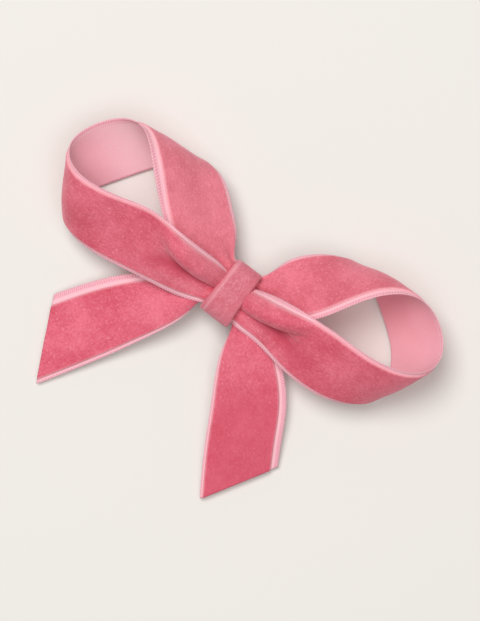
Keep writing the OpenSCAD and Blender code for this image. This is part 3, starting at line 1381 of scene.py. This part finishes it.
@dataclass
class FoldedBand(RibbonPiece):
    """Velvet ribbon folded in three lengthways, both edges turned under, and bent along a path.

    Attributes:
        path: Points in the YZ plane, in mm.
        facing: Its outward directions.
        width_at_middle: Finished width where y is 0.
        taper: How much wider it gets for each mm towards -Y.
        face_lift: Height of the outer layer's ground above the path.
        crown: How far the outer layer swells in the middle.
        flare: How much wider it gets where it turns down.
        turns_down: How far out in Y it begins to turn down, and over how many mm.
        ripple: How far its width strays.
        fold_r: Radius of the ground at its two folds.
        folds: Where on the cloth the first fold begins and ends, as shares of its width.
        turned_in: Width of each edge that is turned under.
        crushed: The share of the pile's height that is left on a turned edge.
        bright: Place on the cloth of the painted highlight on the fold towards -X, and how far it reaches.
        painted_shade: The same for the painted shade on the other fold.
        pile_h: The height of its pile.
        painted_light: Its painted light from start to end, besides the painted highlight and shade on its
            folds; not used.
        cover: Its finish.
    """

    path: np.ndarray = field(default_factory=lambda: np.zeros((2, 2)))
    facing: np.ndarray = field(default_factory=lambda: np.zeros((2, 2)))
    width_at_middle: float = 9.4
    taper: float = 0.086
    face_lift: float = 0.4
    crown: float = 0.06
    flare: float = 0.45
    turns_down: tuple[float, float] = (5.0, 4.0)
    ripple: float = 0.12
    fold_r: float = 0.25
    folds: tuple[float, float] = (0.20, 0.30)
    turned_in: float = 4.6
    crushed: float = 0.35
    bright: tuple[float, float] = (0.31, 0.018)
    painted_shade: tuple[float, float] = (0.68, 0.05)
    pile_h: float = 0.55
    painted_light: tuple[float, float] = (0.0, 0.0)
    cover: Finish = Finish.VELVET_BAND

    def rows(self) -> np.ndarray:
        """The distance of each mesh row along the band, in mm."""
        return distances(self.path)

    def columns(self) -> tuple[np.ndarray, np.ndarray, np.ndarray]:
        """Places across the cloth, the height of the pile and a margin share of 1.

        Returns:
            Rows of places from 0 to 1, the heights in mm, and ones.
        """
        start, end = self.folds
        fold = np.linspace(start, end, 16)
        edge, face = np.linspace(0, start, 7)[:-1], np.linspace(end, 1 - end, 26)[1:-1]
        places = np.concatenate([edge, fold, face, 1 - fold[::-1], 1 - edge[::-1]])
        inner = np.minimum(places, 1 - places)
        raised = np.clip(2 * (inner - start) / (end - start), 0, 1)
        pile = self.pile_h * (self.crushed + (1 - self.crushed) * raised)
        return np.tile(places[None, :], (len(self.path), 1)), pile, np.ones(len(places))

    def lean(self, across: np.ndarray) -> np.ndarray:
        """The painted light: a painted highlight on the fold towards -X and painted shade on the other.

        Args:
            across: Rows of places across the cloth.

        Returns:
            Rows of painted light values.
        """
        lit, shaded = (np.exp(-((across - place) / reach) ** 2) for place, reach in (self.bright, self.painted_shade))
        return 2.6 * lit - 0.9 * shaded

    def surface(self, across: np.ndarray) -> np.ndarray:
        """The ground's mid-surface, a flattened C carried along the path.

        Args:
            across: Rows of places across the cloth, from one turned edge to the other.

        Returns:
            Rows by places by 3, in mm.
        """
        rng = np.random.default_rng(self.seed + 9)
        width = self.width_at_middle - self.taper * self.path[:, 0]
        width = width + self.ripple * value_noise((len(self.path), 2), (9, 1), rng)[:, 0]
        turned = (np.abs(self.path[:, 0]) - self.turns_down[0]) / self.turns_down[1]
        width = width + self.flare * smooth_step(turned)
        radius, reach = self.fold_r, self.turned_in
        half = (width / 2 - self.pile_h - GROUND_T / 2 - radius)[:, None]
        bend = math.pi * radius
        run = across * (2 * reach + 2 * bend + 2 * half)
        first_edge = np.clip(run, 0, reach)
        first_turn = np.clip((run - reach) / bend, 0, 1) * math.pi
        face = np.clip(run - reach - bend, 0, 2 * half)
        last_turn = np.clip((run - reach - bend - 2 * half) / bend, 0, 1) * math.pi
        last_edge = np.clip(run - reach - 2 * bend - 2 * half, 0, reach)
        turns = radius * (np.sin(last_turn) - np.sin(first_turn))
        x = -half + reach - first_edge + face + turns - last_edge
        height = self.face_lift - radius * (2 + np.cos(first_turn) - np.cos(last_turn))
        height = height + self.crown * np.sin(np.clip(face / (2 * half), 0, 1) * math.pi)
        flat = self.path[:, None, :] + self.facing[:, None, :] * height[..., None]
        return np.concatenate([x[..., None], flat], axis=2)


@dataclass
class CentreWrap:
    """The band round the middle of the bow, its tucked end and the stitches that hold it.

    Attributes:
        cloth_w: Width of the band's cloth before its edges are turned under, in metres; not used.
        stitch_x: The place of each stitch, in mm.
        stitch_r: The stitches' radius.
        tuck_z: Height of the tucked end's path under the plate.
        tuck_r: Radius of its last turn.
    """

    cloth_w: float = 0.0183
    stitch_x: Sequence[float] = (-3.5, -1.75, 0.05, 1.8, 3.45)
    stitch_r: float = 0.16
    tuck_z: float = 7.45
    tuck_r: float = 0.25

    def build(self, finishes: Finishes) -> list[bpy.types.Object]:
        """Builds the wrap, its tuck and its stitches.

        Args:
            finishes: The materials.

        Returns:
            The pieces.
        """
        path, facing = WrapOutline().points()
        strip = FoldedBand("velvet_centre_wrap", outward=1, seed=31, path=path, facing=facing)
        band = strip.build(finishes)
        declare(band, "centre_wrap")
        tuck = self._tuck(finishes)
        declare(tuck, "wrap_tuck")
        stitches = self._stitches(finishes)
        declare(stitches, "wrap_stitches")
        return [band, tuck, stitches]

    def _tuck(self, finishes: Finishes) -> bpy.types.Object:
        """Builds the wrap's folded end under the plate.

        Args:
            finishes: The materials.

        Returns:
            The piece.
        """
        bend = np.linspace(0, math.pi / 2, 6)[1:]
        start = np.array([(3.3, 8.35), (3.25, 8.0), (3.1, 7.7), (2.8, 7.5)])
        flat = np.stack([np.linspace(2.5, -2.0, 14), np.full(14, self.tuck_z)], axis=1)
        turn = np.stack([-np.sin(bend), 1 - np.cos(bend)], axis=1) * self.tuck_r
        path = np.concatenate([start, flat, flat[-1] + turn])
        ahead = unit(np.gradient(path, axis=0))
        facing = np.stack([-ahead[:, 1], ahead[:, 0]], axis=1)
        return FoldedBand(
            "velvet_wrap_tuck", outward=1, seed=37, path=path, facing=facing, width_at_middle=9.5,
            taper=0.0, face_lift=0.15, flare=0.0, pile_h=0.5).build(finishes)

    def _stitches(self, finishes: Finishes) -> bpy.types.Object:
        """Builds the hand stitches along the tucked end.

        Args:
            finishes: The materials.

        Returns:
            The piece.
        """
        paths = []
        for k, x in enumerate(self.stitch_x):
            lean = 0.35 + 0.08 * math.sin(2.4 * k)
            route = np.array([
                (x + lean, -1.7, 7.3), (x + lean * 0.8, -1.85, 6.75), (x + lean * 0.4, -2.3, 6.55),
                (x - lean * 0.2, -2.75, 6.75), (x - lean * 0.6, -3.0, 7.2), (x - lean * 0.7, -3.1, 7.8)])
            paths.append(smooth_curve(route, 14))
        piece = threads("wrap_stitch_threads", paths, self.stitch_r, 8)
        piece.data.materials.append(finishes[Finish.THREAD])
        return piece


@dataclass
class GatheredWaist:
    """The pinched middle of the ribbons and the thread that binds it.

    Attributes:
        half_length: Half its length along X, in mm.
        radius: Radius of its rounded ends.
        half_width: Half the distance between the centres of its rounded ends.
        height: Height of its middle line.
        pinch: How much narrower it is in the middle, as a share.
        flutes: How many gathers show round it.
        flute_depth: Their depth, as a share of the radius.
        twist: How far they wind round it, in radians for each mm.
        turns: Turns of the binding thread.
        thread_r: The thread's radius.
        wound: Half the length that the thread covers.
        wander: How far its turns stray, in mm.
    """

    half_length: float = 4.9
    radius: float = 2.75
    half_width: float = 5.0
    height: float = 13.4
    pinch: float = 0.10
    flutes: int = 14
    flute_depth: float = 0.07
    twist: float = 0.35
    turns: int = 6
    thread_r: float = 0.16
    wound: float = 1.3
    wander: float = 0.06

    def _outline(self, radius: float | np.ndarray, angle: np.ndarray) -> np.ndarray:
        """Points of the waist's outline.

        Args:
            radius: The radius of its rounded ends, or one for each point.
            angle: The angles, round the whole outline.

        Returns:
            The Y and Z of each point.
        """
        y = self.half_width * np.tanh(3 * np.cos(angle)) + radius * np.cos(angle)
        return np.stack([y, self.height + radius * np.sin(angle)], axis=1)

    def build(self, finishes: Finishes) -> list[bpy.types.Object]:
        """Builds the fluted bundle and its binding.

        Args:
            finishes: The materials.

        Returns:
            The pieces.
        """
        angle = np.linspace(0, 2 * math.pi, 112, endpoint=False)
        rings = []
        for x in np.linspace(-self.half_length, self.half_length, 15):
            narrowed = 1 - self.pinch * math.cos(x / self.half_length * math.pi / 2)
            fluted = 1 + self.flute_depth * np.sin(self.flutes * angle + self.twist * x)
            outline = self._outline(self.radius * narrowed * fluted, angle)
            rings.append(np.concatenate([np.full((len(outline), 1), x), outline], axis=1))
        points, faces = loft(np.array(rings))
        bundle = new_mesh("gathered_waist", points, faces)
        bundle.data.materials.append(finishes[Finish.VELVET])
        declare(bundle, "ribbon_waist")
        wind = np.linspace(0, 2 * math.pi * self.turns, 60 * self.turns)
        around = self._outline(self.radius + self.thread_r, wind)
        along = np.linspace(-self.wound, self.wound, len(wind)) + self.wander * np.sin(wind * 2.7)
        thread = threads("binding_thread_turns", [np.column_stack([along, around])], self.thread_r, 7)
        thread.data.materials.append(finishes[Finish.THREAD])
        declare(thread, "binding_thread")
        return [bundle, thread]


# ---------------------------------------------------------------- loops and tails

# Each rim pair goes outwards from the wrap: a point of the upper rim, then of the lower, in mm.
LEFT_LOOP: Sequence[Rim] = (
    ((-1.5, 3.6, 13.2), (-1.5, -6.0, 12.0)), ((-4.6, 4.1, 14.6), (-4.8, -7.4, 12.3)),
    ((-7.6, 4.8, 17.0), (-7.6, -8.6, 12.4)), ((-15.0, 4.8, 22.0), (-13.0, -10.5, 11.5)),
    ((-24.0, 5.0, 26.0), (-21.0, -12.0, 12.5)), ((-33.0, 5.2, 25.5), (-30.0, -13.5, 13.0)),
    ((-42.0, 3.0, 25.5), (-39.0, -15.0, 12.5)), ((-51.0, 1.0, 26.0), (-48.0, -15.0, 11.0)),
    ((-59.5, 1.5, 24.0), (-54.5, -11.5, 6.5)), ((-65.0, 6.5, 18.5), (-54.5, -3.5, 2.5)),
    ((-63.5, 14.5, 15.0), (-50.0, 4.5, 1.0)), ((-58.0, 21.5, 15.5), (-45.0, 12.0, 1.0)),
    ((-50.5, 23.5, 20.0), (-39.0, 20.0, 1.5)), ((-42.5, 17.5, 24.0), (-31.5, 26.0, 6.5)),
    ((-34.5, 10.0, 23.0), (-23.0, 26.0, 12.0)), ((-27.0, 4.0, 20.5), (-15.5, 20.5, 12.5)),
    ((-18.0, 1.0, 17.0), (-9.5, 15.0, 11.0)), ((-7.0, 2.0, 13.5), (-6.5, 9.5, 10.8)),
    ((-3.5, 2.2, 12.4), (-3.5, 7.6, 11.4)), ((-1.0, 2.2, 12.0), (-1.0, 6.8, 11.6)),
)
RIGHT_LOOP: Sequence[Rim] = (
    ((1.5, 4.0, 13.2), (1.5, -6.0, 12.0)), ((4.6, 4.6, 14.6), (4.8, -7.0, 12.3)),
    ((7.6, 5.8, 17.2), (7.6, -7.5, 12.4)), ((15.0, 7.4, 22.0), (15.0, -7.5, 11.5)),
    ((24.0, 8.3, 25.5), (24.0, -9.0, 12.5)), ((33.5, 8.8, 27.0), (34.0, -9.5, 13.5)),
    ((43.0, 9.0, 27.0), (43.0, -8.0, 12.5)), ((53.0, 11.0, 25.5), (51.5, -3.0, 9.0)),
    ((60.5, 16.0, 21.5), (54.0, 5.0, 3.5)), ((61.0, 23.5, 18.0), (51.0, 13.5, 1.0)),
    ((54.5, 30.0, 18.5), (44.0, 20.0, 1.0)), ((45.5, 32.0, 22.0), (35.5, 25.5, 2.5)),
    ((37.0, 27.0, 25.0), (26.5, 29.0, 6.0)), ((30.5, 18.0, 25.0), (18.0, 27.5, 11.0)),
    ((25.0, 9.0, 22.0), (10.0, 21.0, 13.0)), ((17.0, 3.0, 17.5), (6.9, 15.0, 12.0)),
    ((7.4, 2.0, 13.5), (5.6, 10.8, 11.0)), ((3.8, 2.2, 12.4), (4.0, 8.6, 11.2)),
    ((1.0, 2.2, 12.0), (1.0, 7.2, 11.6)),
)
LEFT_TAIL: Sequence[Rim] = (
    ((-1.5, 2.0, 11.6), (-1.5, -5.6, 11.6)), ((-4.5, 2.2, 11.2), (-4.3, -6.2, 11.1)),
    ((-7.0, 2.5, 10.9), (-6.5, -7.0, 10.7)), ((-14.5, -4.0, 10.0), (-7.5, -15.0, 9.3)),
    ((-24.0, -10.5, 7.5), (-13.0, -27.0, 6.5)), ((-34.0, -20.5, 4.5), (-19.5, -39.0, 3.5)),
    ((-43.0, -33.0, 1.6), (-31.0, -58.0, 1.4)),
)
RIGHT_TAIL: Sequence[Rim] = (
    ((1.5, -6.0, 11.6), (1.5, 1.6, 11.6)), ((4.3, -6.7, 11.1), (4.5, 2.0, 11.2)),
    ((6.5, -7.5, 10.7), (7.0, 2.5, 10.9)), ((8.5, -17.0, 9.0), (18.0, -3.5, 10.0)),
    ((15.0, -30.0, 6.0), (31.0, -14.0, 6.5)), ((22.0, -43.0, 3.5), (38.0, -25.0, 4.0)),
    ((30.0, -56.0, 1.5), (43.0, -34.0, 1.6)),
)
LOOP_WAVES: Sequence[Wave] = (
    Wave(2.0, 1.1, 0.1, True, 20.0), Wave(1.0, 0.6, 0.3, True, 34.0), Wave(0.5, 1.1, 0.0, False, 13.0))


@dataclass
class Bow:
    """The two loops and two tails of velvet ribbon.

    Attributes:
        cloth_w: The ribbon's width, in metres; not used.
    """

    cloth_w: float = RIBBON_W * MM

    def strands(self) -> dict[str, Strand]:
        """The four ribbons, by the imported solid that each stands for."""
        # Painted light: each ribbon's light values paint highlights and shade along its pile and its satin
        # side.
        return {
            "left_loop": Strand(
                "velvet_left_loop", (0.4, 0.4, 1.5, 2.3, 0.8), (1.1, 0.7), outward=1, seed=3, rims=LEFT_LOOP,
                painted_light=(0.1, 1.2), pleat=Pleat(0.42, 0.16, 4.8, 0.23, opens=7.0, gone=28.0),
                bulges=(Bulge(55.5, 1.4, 9.0), Bulge(95.0, 2.6, 9.0), Bulge(105.0, 1.5, 6.5)),
                satin_painted_light=(0.2, 0.2, 0.2, 0.2, 0.1, -0.1, 0.40, 0.34, 0.1, 0.2, 0.2), waves=LOOP_WAVES),
            "right_loop": Strand(
                "velvet_right_loop", (0.9, 0.6, 1.2, 1.9, 1.3), (1.1, 0.7), outward=-1, seed=5,
                rims=RIGHT_LOOP, painted_light=(-0.1, 0.7), pleat=Pleat(0.51, 0.22, 5.0, 0.25, opens=7.0, gone=27.0),
                bulges=(Bulge(58.0, 1.3, 9.0), Bulge(97.0, 2.6, 10.0)),
                satin_painted_light=(-0.2, -0.2, -0.2, -0.2, -0.1, -0.08, -0.35, -0.5, -0.3, -0.2, -0.2),
                waves=LOOP_WAVES),
            "left_tail": Strand(
                "velvet_left_tail", (2.4, 2.6), (0.9, 0.9), outward=1, seed=7, rims=LEFT_TAIL,
                painted_light=(0.2, 0.0), waves=(Wave(1.5, 1.5, 0.15, False, 24.0), Wave(0.5, 1.0, 0.0, False, 36.0))),
            "right_tail": Strand(
                "velvet_right_tail", (0.6, 0.6), (2.0, 2.0), outward=1, seed=11, rims=RIGHT_TAIL,
                painted_light=(0.1, -0.9), waves=(Wave(1.5, 1.5, 0.15, False, 20.0), Wave(0.5, 1.2, 0.0, False, 36.0))),
        }

    def build(self, finishes: Finishes) -> list[bpy.types.Object]:
        """Builds the ribbons and the picots along their rims.

        Args:
            finishes: The materials.

        Returns:
            The pieces.
        """
        made = []
        for node, strand in self.strands().items():
            ribbon = strand.build(finishes)
            declare(ribbon, node)
            picots = strand.picots(finishes)
            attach(picots, BOW)
            length = round(float(strand.rows()[-1]) * MM, 4)
            made += [ribbon, picots]
        return made


# ---------------------------------------------------------------- the clip


@dataclass
class Clip:
    """The metal clip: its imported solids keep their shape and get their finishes.

    Attributes:
        dressing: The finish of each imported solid.
    """

    dressing: dict[str, Finish] = field(default_factory=lambda: {
        "top_plate": Finish.CLIP_STEEL,
        "hinge_bracket": Finish.CLIP_STEEL,
        "catch_base": Finish.CLIP_STEEL,
        "catch_tab_front": Finish.CLIP_STEEL,
        "catch_tab_back": Finish.CLIP_STEEL,
        "clasp_arm": Finish.ARM_STEEL,
        "leaf_spring": Finish.SPRING_STEEL,
        "hinge_rivet": Finish.RIVET_STEEL,
        "hinge_pin": Finish.RIVET_STEEL,
        "catch_rivet": Finish.RIVET_STEEL,
        "plate_liner": Finish.FELT,
    })

    def dress(self, finishes: Finishes) -> list[bpy.types.Object]:
        """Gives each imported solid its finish.

        Args:
            finishes: The materials.

        Returns:
            The dressed pieces.
        """
        dressed = []
        for node, finish in self.dressing.items():
            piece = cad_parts[node]
            if not piece.material_slots:
                piece.data.materials.append(finishes[finish])
            for held in piece.material_slots:
                held.material = finishes[finish]
            dressed.append(piece)
        return dressed


# ---------------------------------------------------------------- the studio


class Lamp(NamedTuple):
    """A round soft light turned to the origin.

    Attributes:
        name: Its name.
        place: Its place, in metres.
        size: Its width, in metres.
        power: Its power, in watts.
    """

    name: str
    place: Point
    size: float
    power: float


@dataclass
class Studio:
    """A pale table, soft light from the bow's left and a camera straight above.

    Attributes:
        floor_half: Half the table's width, in metres.
        floor_z: The table's height.
        sky: The colour of the light.
        sky_strength: Strength of the light from all round.
        lamps: The two lights.
        camera_place: The camera's place.
        camera_roll: The camera's turn about Z, in degrees.
        lens: Its focal length, in mm.
        sensor: Its sensor's width, in mm.
        clip: The nearest and farthest distances that it sees.
    """

    floor_half: float = 1.2
    floor_z: float = -0.0003
    sky: Colour = (1.0, 0.985, 0.965)
    sky_strength: float = 0.26
    lamps: Sequence[Lamp] = (
        Lamp("window_light", (-0.55, 0.22, 1.50), 0.8, 15.5),
        Lamp("ceiling_light", (0.22, -0.10, 1.60), 1.2, 9.1),
    )
    camera_place: Point = (0.00524, -0.00281, 0.700)
    camera_roll: float = 36.95
    lens: float = 132.8
    sensor: float = 36.0
    clip: tuple[float, float] = (0.02, 20.0)

    def build(self, finish: bpy.types.Material) -> list[bpy.types.Object]:
        """Builds the floor, the lights and the camera.

        Args:
            finish: The floor's material.

        Returns:
            The floor and the camera.
        """
        floor = self._floor(finish)
        self._sky()
        for lamp in self.lamps:
            self._light(lamp)
        camera = self._camera()
        bpy.context.scene.view_settings.view_transform = "Standard"
        return [floor, camera]

    def _floor(self, finish: bpy.types.Material) -> bpy.types.Object:
        """Lays the floor.

        Args:
            finish: Its material.

        Returns:
            The floor.
        """
        half, height = self.floor_half / MM, self.floor_z / MM
        corners = np.array([(x * half, y * half, height) for x, y in ((-1, -1), (1, -1), (1, 1), (-1, 1))])
        floor = new_mesh("tabletop", corners, [(0, 1, 2, 3)], smooth=False)
        floor.data.materials.append(finish)
        return floor

    def _sky(self) -> None:
        """Lights the scene evenly from all round."""
        world = bpy.data.worlds.new("soft_sky")
        world.use_nodes = True
        background = world.node_tree.nodes["Background"]
        background.inputs["Color"].default_value = (*self.sky, 1.0)
        background.inputs["Strength"].default_value = self.sky_strength
        bpy.context.scene.world = world

    def _light(self, lamp: Lamp) -> None:
        """Hangs a light, turned to the origin.

        Args:
            lamp: The light.
        """
        light = bpy.data.lights.new(lamp.name, "AREA")
        light.shape = "DISK"
        light.size = lamp.size
        light.energy = lamp.power
        light.color = self.sky
        hung = bpy.data.objects.new(lamp.name, light)
        hung.location = lamp.place
        hung.rotation_mode = "QUATERNION"
        hung.rotation_quaternion = Vector(lamp.place).to_track_quat("Z", "Y")
        bpy.context.scene.collection.objects.link(hung)

    def _camera(self) -> bpy.types.Object:
        """Sets up the camera.

        Returns:
            The camera.
        """
        lens = bpy.data.cameras.new("overhead_camera")
        lens.lens = self.lens
        lens.sensor_width = self.sensor
        lens.clip_start, lens.clip_end = self.clip
        camera = bpy.data.objects.new("overhead_camera", lens)
        camera.location = self.camera_place
        camera.rotation_euler = (0.0, 0.0, math.radians(self.camera_roll))
        bpy.context.scene.collection.objects.link(camera)
        bpy.context.scene.camera = camera
        return camera


def write_sizes() -> None:
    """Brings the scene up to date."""
    bpy.context.view_layer.update()


def main() -> None:
    """Builds every sub-assembly in order and reports its pieces."""
    logging.basicConfig(level=logging.INFO, format="%(name)s: %(message)s")
    finishes = Finishes()
    made = {
        "clip": Clip().dress(finishes),
        "waist": GatheredWaist().build(finishes),
        "bow": Bow().build(finishes),
        "wrap": CentreWrap().build(finishes),
        "studio": Studio().build(Tabletop().build()),
    }
    for group, members in made.items():
        for piece in members:
            log.info("%s: %s", group, piece.name)
    write_sizes()


if __name__ == "__main__":
    main()
